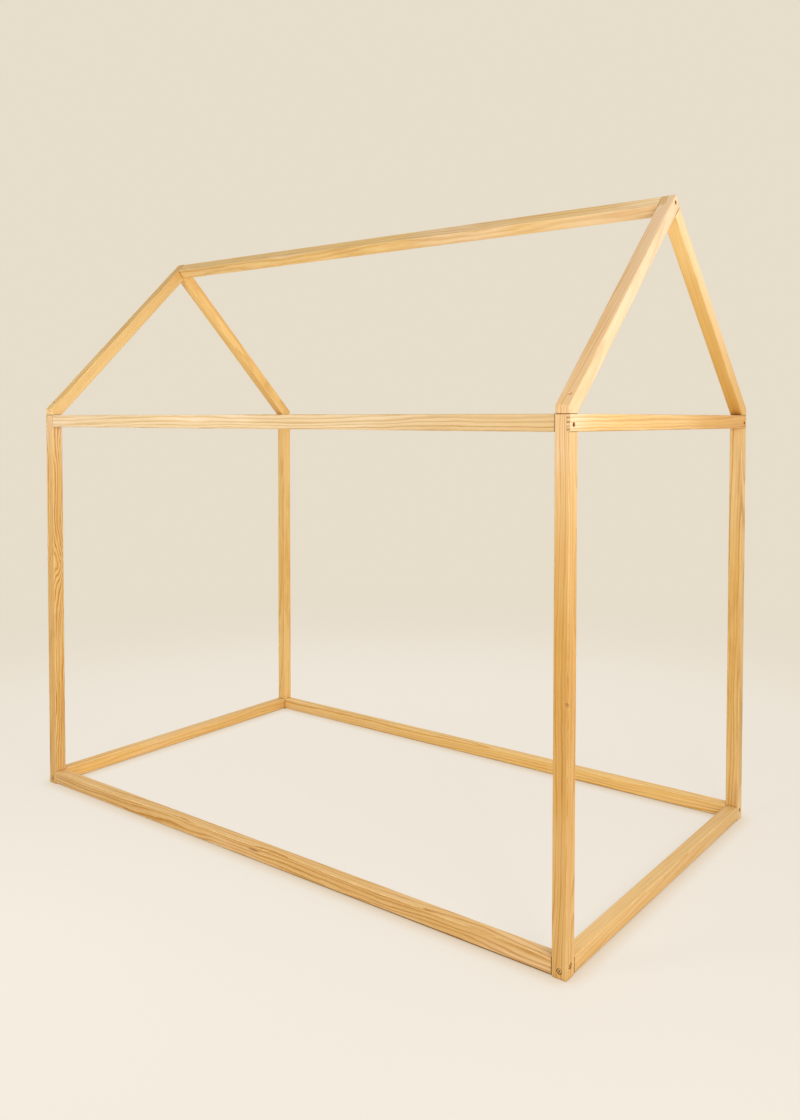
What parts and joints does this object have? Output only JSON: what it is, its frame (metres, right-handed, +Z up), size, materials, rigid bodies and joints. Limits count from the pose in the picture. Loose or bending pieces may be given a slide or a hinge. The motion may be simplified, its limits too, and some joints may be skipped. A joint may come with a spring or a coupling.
{
  "type": "house frame bed",
  "caption": "Open house-shaped bed frame of slim pine bars: posts, floor rails round a mattress, eave rails, gable rafters and a ridge beam, joined with recessed screws.",
  "frame": {"origin": "on the floor under the middle of the frame", "axes": "+X along the bed, +Y from the front to the rear, +Z up"},
  "size_m": [1.986, 1.15, 1.8353],
  "materials": {
    "pine": "clear satin varnish over planed pine",
    "zinc_steel": "zinc plated",
    "beech": "plain, fluteless dowel rod"
  },
  "bodies": {
    "root": {"post_front_right": "pine", "post_front_left": "pine", "post_rear_right": "pine", "post_rear_left": "pine", "top_rail_front": "pine", "top_rail_rear": "pine", "gable_rail_right": "pine", "gable_rail_left": "pine", "bottom_rail_front": "pine", "bottom_rail_rear": "pine", "bottom_rail_right": "pine", "bottom_rail_left": "pine", "rafter_front_right": "pine", "rafter_front_left": "pine", "rafter_rear_right": "pine", "rafter_rear_left": "pine", "ridge_beam": "pine", "base_screws_long": "zinc_steel", "base_screws_gable": "zinc_steel", "eave_screws": "zinc_steel", "rafter_foot_screws": "zinc_steel", "ridge_screws": "zinc_steel", "base_dowels_long": "beech", "base_dowels_gable": "beech", "eave_dowels": "beech", "ridge_dowels": "beech"}
  },
  "joints": []
}
